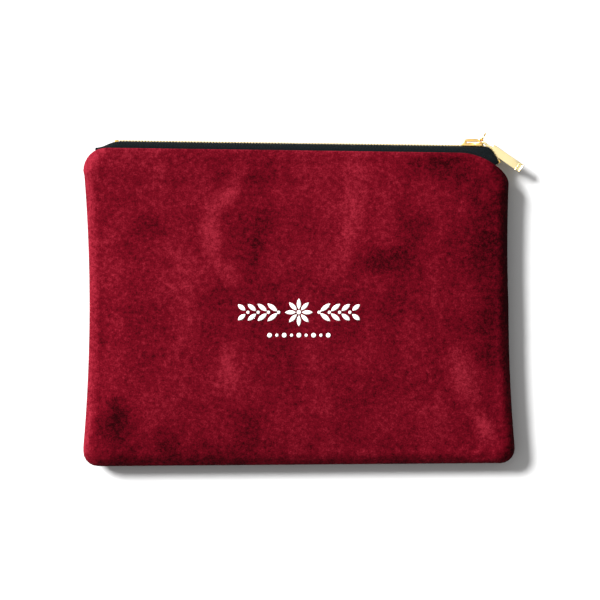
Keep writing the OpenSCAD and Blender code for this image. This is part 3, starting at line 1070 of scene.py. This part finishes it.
class POUCH_OT_teeth(Step, bpy.types.Operator):
    """Model one tooth and clamp its copies along both tapes, with the stops at their ends"""

    bl_idname = "pouch.teeth"
    bl_label = "Zip Teeth"

    def execute(self, context):
        path = Path()
        tooth = modelled_tooth()
        for side, where in ((1, "front"), (-1, "back")):
            spots = {"left": [], "right": []}
            count = int((path.row_end - CHAIN_START) / path.pitch) + 1
            for k in range(count):
                s = CHAIN_START + (k + (side < 0) / 2) * path.pitch
                if s >= path.row_end:
                    continue
                place = path.matrix(s, side * path.parted(s)) @ Matrix.Diagonal((1, 1, side, 1))
                spots["left" if s < 0 else "right"].append(place)
            if side < 0:
                row = copies("back_tooth_row", tooth, spots["left"] + spots["right"])
                finish_piece(row, material("teeth"), "teeth", "back_teeth", "back_teeth_right_end")
                continue
            for sign, hand in HANDS:
                row = copies(f"front_tooth_row_{hand}", tooth, spots[hand])
                nodes = ("front_teeth", f"front_teeth_{hand}_end")
                finish_piece(row, material("teeth"), "teeth", *nodes, body=None)
                bow(row, sign)
        bpy.data.objects.remove(tooth)
        self.stops(path)
        return {"FINISHED"}

    def stops(self, path):
        place = zip_matrix() @ Matrix.Translation(((CHAIN_START - 2.4) * MM, path.rise * MM, 0))
        self.stop("bottom_stop_bar", (2.4, 2.2, 3.8), 0.22, place, "bottom_stop")
        for side, where in ((1, "front"), (-1, "back")):
            place = path.matrix(path.row_end + 1.4, side * (path.parted(path.row_end) + 1.3))
            self.stop(f"{where}_top_clip", (STOP_L, 1.9, 2.2), 0.25, place, f"{where}_top_stop")

    def stop(self, name, size, bevel, place, node):
        """A block of the given size with rounded edges, set at its place."""
        block = soften(box_between(name, [-c / 2 for c in size], [c / 2 for c in size]), bevel)
        block.matrix_world = place
        finish_piece(bake_place(block), material("gold"), "teeth", node)


# ---------------------------------------------------------------- slider and pull, in the slider's frame


def place_on_slider(obj):
    """Sets a finished part, modelled in the slider's frame, on the chain."""
    path = Path()
    obj.matrix_world = path.matrix(path.slider) @ obj.matrix_world
    return bake_place(obj)


def box_between(name, low, high):
    """A plain block between two corners given in millimetres."""
    deselect_all()
    centre = [(a + b) / 2 * MM for a, b in zip(low, high)]
    bpy.ops.mesh.primitive_cube_add(size=1, location=centre)
    block = bpy.context.object
    block.name = name
    block.scale = tuple((b - a) * MM for a, b in zip(low, high))
    return bake_place(block)


def cut_across(obj, *places):
    """Adds an edge loop across obj at each x, in millimetres."""
    for x in places:
        make_active(obj)
        bpy.ops.object.mode_set(mode="EDIT")
        bpy.ops.mesh.select_all(action="SELECT")
        bpy.ops.mesh.bisect(plane_co=(x * MM, 0, 0), plane_no=(1, 0, 0))


def torus(radius, wire, segments, sides, **placing):
    """A wire ring; its radii are in millimetres."""
    deselect_all()
    bpy.ops.mesh.primitive_torus_add(
        major_segments=segments, minor_segments=sides,
        major_radius=radius * MM, minor_radius=wire * MM, **placing)
    return bpy.context.object


def soften(obj, width, segments=2, angle=30):
    bpy.ops.object.mode_set(mode="OBJECT")
    add_modifier(obj, "BEVEL", width=width * MM, segments=segments, limit_method="ANGLE",
                 angle_limit=math.radians(angle))
    apply_all(obj)
    return smooth(obj, 42)


def joined(name, parts):
    """The parts as one object."""
    deselect_all()
    for part in parts:
        part.select_set(True)
    bpy.context.view_layer.objects.active = parts[0]
    if len(parts) > 1:
        bpy.ops.object.join()
    whole = bpy.context.object
    whole.name = whole.data.name = name
    return whole


def slider_plate(way):
    """One plate with a tapered plan, a raised pad outside and turned rims inside."""
    plate = box_between("plate", (0, way * 1.3, -3.1), (SLIDER_L, way * 2.0, 3.1))
    cut_across(plate, 2.6, 5, 7, 9, 10.4)
    for low, high, scale in ((6.9, 7.1, 1.2), (8.9, 9.1, 1.4), (10.3, 10.5, 1.4), (11.5, 11.7, 1.33)):
        pick(plate, "VERT", lambda co: low * MM < co.x < high * MM)
        resize(z=scale)
    pick(plate, "FACE", lambda c, n: n.y * way < -0.9)
    inset(0.62)
    pick(plate, "FACE", lambda c, n: n.y * way < -0.9 and abs(c.z) > 2.5 * MM and 0.5 * MM < c.x < 11.1 * MM)
    extrude(y=-way * 0.82)
    pick(plate, "FACE", lambda c, n: n.y * way > 0.9)
    inset(0.75)
    inset(0.3)
    shift(y=-way * 0.16)
    return soften(plate, 0.16)


class POUCH_OT_slider(Step, bpy.types.Operator):
    """Model the slider's two plates and the wedge that parts the rows"""

    bl_idname = "pouch.slider"
    bl_label = "Slider Body"

    def execute(self, context):
        wedge = box_between("wedge", (8.9, -1.45, -0.45), (SLIDER_L - 0.1, 1.45, 0.45))
        pick(wedge, "VERT", lambda co: co.x < 9 * MM)
        resize(z=0.12)
        soften(wedge, 0.08)
        body = joined("slider_shell", [slider_plate(1), slider_plate(-1), wedge])
        finish_piece(place_on_slider(body), material("gold"), "slider", "slider_body", body="slider")
        return {"FINISHED"}


PIVOT = Vector((10.6, 3.5, 0))      # the crown's hole, in the slider's frame
# The crown's outline: distance along the slider, then how much its top rises and its width is scaled there
CROWN_PROFILE = (
    (1.2, -0.75, 0.8), (1.9, -0.25, 0.95), (5.2, 0.12, 1.0), (7.4, 0.12, 0.95), (8.9, 0.0, 0.85))


class POUCH_OT_crown(Step, bpy.types.Operator):
    """Extrude the crown's arch over the slider and turn its eye"""

    bl_idname = "pouch.crown"
    bl_label = "Crown and Lock Spring"

    def execute(self, context):
        arch = box_between("arch", (1.2, 2.85, -0.8), (10.2, 4.4, 0.8))
        cut_across(arch, 1.9, 3.1, 5.2, 7.4, 8.9)
        for x, top, wide in CROWN_PROFILE:
            pick(arch, "VERT", lambda co: abs(co.x - x * MM) < 0.1 * MM)
            resize(z=wide)
            pick(arch, "VERT", lambda co: abs(co.x - x * MM) < 0.1 * MM and co.y > 4 * MM)
            shift(y=top)
        pick(arch, "VERT", lambda co: co.x > 10 * MM)
        resize(y=0.7, z=0.72, about=(0, 3.7 * MM, 0))
        soften(arch, 0.24, 3)
        heel = soften(box_between("heel", (1.2, 1.9, -0.62), (2.7, 3.1, 0.62)), 0.14)
        eye = torus(0.93, 0.33, 36, 12, location=PIVOT * MM)
        eye.scale = (1, 1, 1.75)
        smooth(bake_place(eye))
        foot = soften(box_between("foot", (9.5, 1.9, -0.6), (11.4, 2.85, 0.6)), 0.12)
        crown = joined("slider_arch", [arch, heel, eye, foot])
        finish_piece(place_on_slider(crown), material("gold"), "slider", "slider_crown", body="slider")
        spring = soften(box_between("lock_leaf", (3.6, 2.15, -0.5), (8.2, 2.4, 0.5)), 0.07)
        finish_piece(place_on_slider(spring), material("gold"), "slider", "lock_spring", body="slider")
        return {"FINISHED"}


def place_on_pivot(obj, degrees):
    """Turns a part about the crown's hole, and sets it there."""
    obj.matrix_world = Matrix.Translation(PIVOT * MM) @ Matrix.Rotation(math.radians(degrees), 4, "Z") @ \
        obj.matrix_world
    return place_on_slider(obj)


class POUCH_OT_ring(Step, bpy.types.Operator):
    """Thread the jump ring through the crown"""

    bl_idname = "pouch.ring"
    bl_label = "Jump Ring"

    angle: bpy.props.FloatProperty(
        name="Angle", description="Direction of the ring from the chain's line",
        default=math.radians(60), subtype="ANGLE", unit="ROTATION")

    def execute(self, context):
        ring = torus(2.4, 0.42, 48, 14, location=(2.4 * MM, 0, 0), rotation=(math.radians(90), 0, 0))
        ring.name = "jump_ring"
        smooth(bake_place(ring))
        place_on_pivot(ring, math.degrees(self.angle))
        finish_piece(ring, material("gold"), "slider", "pull_ring", body="ring")
        return {"FINISHED"}


class POUCH_OT_tab(Step, bpy.types.Operator):
    """Model the bar pull tab with its two ears and its framed end"""

    bl_idname = "pouch.tab"
    bl_label = "Pull Tab"

    angle: bpy.props.FloatProperty(
        name="Angle", description="Direction of the tab from the chain's line",
        default=math.radians(-34), subtype="ANGLE", unit="ROTATION")

    def execute(self, context):
        parts = [self.plate(), self.end_block(), self.neck(), self.yoke()]
        for z in (-0.975, 0.975):
            parts += self.ear(z)
        tab = joined("bar_tab", parts)
        place_on_pivot(tab, math.degrees(self.angle))
        finish_piece(tab, material("tab"), "tab", "pull_tab", body="tab")
        return {"FINISHED"}

    def plate(self):
        plate = box_between("bar", (7, -2.4, -0.5), (24.6, 2.4, 0.5))
        cut_across(plate, 7.5, 12, 18)
        pick(plate, "VERT", lambda co: co.x < 7.1 * MM)
        resize(y=0.82)
        return soften(plate, 0.14, 3)

    def end_block(self):
        block = box_between("end", (24.2, -2.4, -0.7), (27, 2.4, 0.7))
        for way in (-1, 1):
            pick(block, "FACE", lambda c, n: n.z * way > 0.9)
            inset(0.42)
            inset(0.16)
            shift(z=-way * 0.2)
        return soften(block, 0.14, 3)

    def neck(self):
        neck = box_between("neck", (2.7, -0.6, -0.5), (7.3, 0.6, 0.5))
        cut_across(neck, 5.6)
        pick(neck, "VERT", lambda co: co.x > 7.2 * MM)
        resize(y=2.2)
        return soften(neck, 0.14)

    def yoke(self):
        return soften(box_between("yoke", (2.2, -0.6, -1.2), (3.3, 0.6, 1.2)), 0.16)

    def ear(self, z):
        eye = smooth(torus(1.1, 0.24, 36, 10, location=(0, 0, z * MM)))
        arm = box_between("arm", (1.1, -0.5, z - 0.22), (2.6, 0.5, z + 0.22))
        return [eye, soften(arm, 0.1)]


# ---------------------------------------------------------------- embroidery


def leaf_edge(length, width):
    """Half width of a pointed leaf at distance x from its middle."""
    radius = (length * length / 4 + width * width / 4) / width
    return lambda x: max(0.03, width / 2 - radius + math.sqrt(max(0, radius * radius - x * x)))


def round_edge(radius):
    return lambda x: max(0.03, math.sqrt(max(0, radius * radius - x * x)))


def satin(length, edge, rise, ground, place):
    """One padded satin-stitch shape; its threads lie slanted across it."""
    thread = 0.42
    count = max(8, round(length / thread * 4))
    across = 9
    verts, faces = [], []
    for u in range(count + 1):
        x = mix(-length / 2, length / 2, u / count) * 0.995
        half = edge(x)
        for v in range(across):
            y = mix(-1, 1, v / (across - 1))
            dome = math.sqrt(max(0, 1 - (y * 0.96) ** 2))
            full = min(1, half / 0.7)
            cord = 0.5 + 0.5 * math.cos((x + y * half * 0.55) / thread * math.tau)
            high = (rise * dome + 0.11 * cord * dome) * full + 0.02
            verts.append(place_stitch(place, ground, x, y * half, high))
        verts += [place_stitch(place, ground, x, y * half, -0.3) for y in (1, -1)]
    n = across + 2
    for u in range(count):
        faces += band(u * n, (u + 1) * n, n)
    faces += [tuple(range(n))[::-1], tuple(count * n + v for v in range(n))]
    return verts, [f[::-1] for f in faces]


def place_stitch(place, ground, x, y, high):
    spot = place @ Vector((x, y, 0))
    hit = ground.ray_cast(Vector((spot.x * MM, spot.y * MM, 0.1)), Vector((0, 0, -1)))[0]
    if hit is None:
        raise RuntimeError("a stitch lies beside the velvet")
    return spot.x, spot.y, hit.z / MM + high


class POUCH_OT_embroidery(Step, bpy.types.Operator):
    """Stitch a flower, two sprigs of leaves and a row of seeds on the front"""

    bl_idname = "pouch.embroidery"
    bl_label = "Embroidery"

    rise: length("Rise", "How far the satin stitches stand up", 0.5, 0.2, 0.8)

    def execute(self, context):
        verts, faces = [], []
        for half in ("left", "right"):
            mesh = bpy.data.objects[f"front_velvet_{half}"].data
            base = len(verts)
            verts += [v.co.copy() for v in mesh.vertices]
            faces += [tuple(base + i for i in p.vertices) for p in mesh.polygons]
        ground = BVHTree.FromPolygons(verts, faces)
        for sign, hand in HANDS:
            sewn_verts, sewn_faces = [], []
            for length, edge, place in self.shapes():
                middle = (place @ Vector((0, 0, 0))).x
                if (middle < -0.01) != (sign < 0):
                    continue
                made, rows = satin(length, edge, self.rise / MM, ground, place)
                base = len(sewn_verts)
                sewn_verts += made
                sewn_faces += [tuple(base + i for i in face) for face in rows]
            piece = smooth(outward(new_object(f"satin_stitches_{hand}", sewn_verts, sewn_faces)), 60)
            finish_piece(piece, material("thread"), "thread", "embroidery", body=None)
            bow(piece, sign)
        return {"FINISHED"}

    def shapes(self):
        """Each shape's length, its edge, and its place on the front in millimetres."""
        sprig = Matrix.Translation((0, -4, 0))

        def turned(degrees):
            return Matrix.Rotation(math.radians(degrees), 4, "Z")

        def moved(x, y=0.0):
            return Matrix.Translation((x, y, 0))

        for i in range(8):
            yield 6, leaf_edge(6, 2.3), sprig @ turned(i * 45) @ moved(4.6)
        yield 2.4, round_edge(1.2), sprig
        for side in (0, 180):
            for i in range(4):
                knot = sprig @ turned(side) @ moved(11 + i * 5.6)
                length = 7 - i * 0.6
                for up in (-38, 38):
                    yield length, leaf_edge(length, 2.5), knot @ turned(up) @ moved(4.3)
                yield 1.8, round_edge(0.9), knot
        for i in range(-4, 5):
            size = 1.3 if i % 2 == 0 else 0.9
            yield 2 * size, round_edge(size), sprig @ moved(i * 4, -12.5)


# ---------------------------------------------------------------- stage


class POUCH_OT_stage(Step, bpy.types.Operator):
    """Set a pale floor, a soft key light, an overhead panel and the camera"""

    bl_idname = "pouch.stage"
    bl_label = "Stage"

    key: bpy.props.FloatProperty(
        name="Key light", description="Strength of the key light", default=9.2, min=0)
    fill: bpy.props.FloatProperty(name="Fill light", description="Brightness of the room", default=0.2, min=0)
    panel: bpy.props.FloatProperty(
        name="Overhead panel", description="Power of the overhead panel", default=12.0, min=0,
        subtype="POWER", unit="POWER")
    field: bpy.props.FloatProperty(
        name="Field", description="Width that the camera sees at the seam's height", default=0.33, min=0.05,
        subtype="DISTANCE", unit="LENGTH")

    def execute(self, context):
        self.floor()
        self.lights(context)
        self.camera(context)
        return {"FINISHED"}

    def floor(self):
        deselect_all()
        bpy.ops.mesh.primitive_plane_add(size=6, location=(0, 0, -0.0002))
        floor = bpy.context.object
        floor.name = "floor"
        bake_place(floor)
        m = Maker("white_floor", Base_Color=(0.62, 0.62, 0.62, 1.0), Roughness=0.9, Specular_IOR_Level=0.1)
        floor.data.materials.append(m.material)

    def lights(self, context):
        sun = bpy.data.lights.new("key_light", "SUN")
        sun.energy = self.key
        sun.angle = math.radians(21)
        key = bpy.data.objects.new("key_light", sun)
        key.rotation_euler = Vector((10.5, -6.8, -11)).to_track_quat("-Z", "Y").to_euler()
        area = bpy.data.lights.new("overhead_panel", "AREA")
        area.shape = "RECTANGLE"
        area.size, area.size_y = 2.2, 1.8
        area.energy = self.panel
        overhead = bpy.data.objects.new("overhead_panel", area)
        overhead.location = (-0.15, 0.15, 1.9)
        for light in (key, overhead):
            context.collection.objects.link(light)
        world = context.scene.world or bpy.data.worlds.new("room")
        context.scene.world = world
        world.use_nodes = True
        world.node_tree.nodes["Background"].inputs["Color"].default_value = (1.0, 0.99, 0.98, 1.0)
        world.node_tree.nodes["Background"].inputs["Strength"].default_value = self.fill

    def camera(self, context):
        data = bpy.data.cameras.new("camera")
        data.sensor_width = 36
        height = 1.5
        data.lens = 36 * (height - SEAM_Z * MM) / self.field
        data.clip_end = 20
        camera = bpy.data.objects.new("camera", data)
        camera.location = (0.00055, 0.00275, height)
        context.collection.objects.link(camera)
        context.scene.camera = camera
        context.scene.view_settings.view_transform = "Standard"


STEPS = ("shells", "tapes", "teeth", "slider", "crown", "ring", "tab", "embroidery", "stage")
CLASSES = (
    PouchSizes, ZipSizes, PouchColours, POUCH_OT_shells, POUCH_OT_tapes, POUCH_OT_teeth, POUCH_OT_slider,
    POUCH_OT_crown, POUCH_OT_ring, POUCH_OT_tab, POUCH_OT_embroidery, POUCH_OT_stage,
)


class POUCH_PT_panel(bpy.types.Panel):
    """The pouch's sizes, colours and building steps"""

    bl_label = "Velvet Zip Pouch"
    bl_idname = "POUCH_PT_panel"
    bl_space_type = "VIEW_3D"
    bl_region_type = "UI"
    bl_category = "Pouch"

    def draw(self, context):
        layout = self.layout
        for group in ("pouch_sizes", "zip_sizes", "pouch_colours"):
            box = layout.box()
            settings = getattr(context.scene, group)
            for name in settings.__annotations__:
                box.prop(settings, name)
        for step in STEPS:
            layout.operator(f"pouch.{step}")


def register():
    for cls in CLASSES:
        bpy.utils.register_class(cls)
    bpy.utils.register_class(POUCH_PT_panel)
    bpy.types.Scene.pouch_sizes = bpy.props.PointerProperty(type=PouchSizes)
    bpy.types.Scene.zip_sizes = bpy.props.PointerProperty(type=ZipSizes)
    bpy.types.Scene.pouch_colours = bpy.props.PointerProperty(type=PouchColours)


def unregister():
    del bpy.types.Scene.pouch_colours
    del bpy.types.Scene.zip_sizes
    del bpy.types.Scene.pouch_sizes
    bpy.utils.unregister_class(POUCH_PT_panel)
    for cls in reversed(CLASSES):
        bpy.utils.unregister_class(cls)


def main():
    register()
    for step in STEPS:
        result = getattr(bpy.ops.pouch, step)()
        if result != {"FINISHED"}:
            raise RuntimeError(f"the {step} step did not finish")


if __name__ == "__main__":
    main()
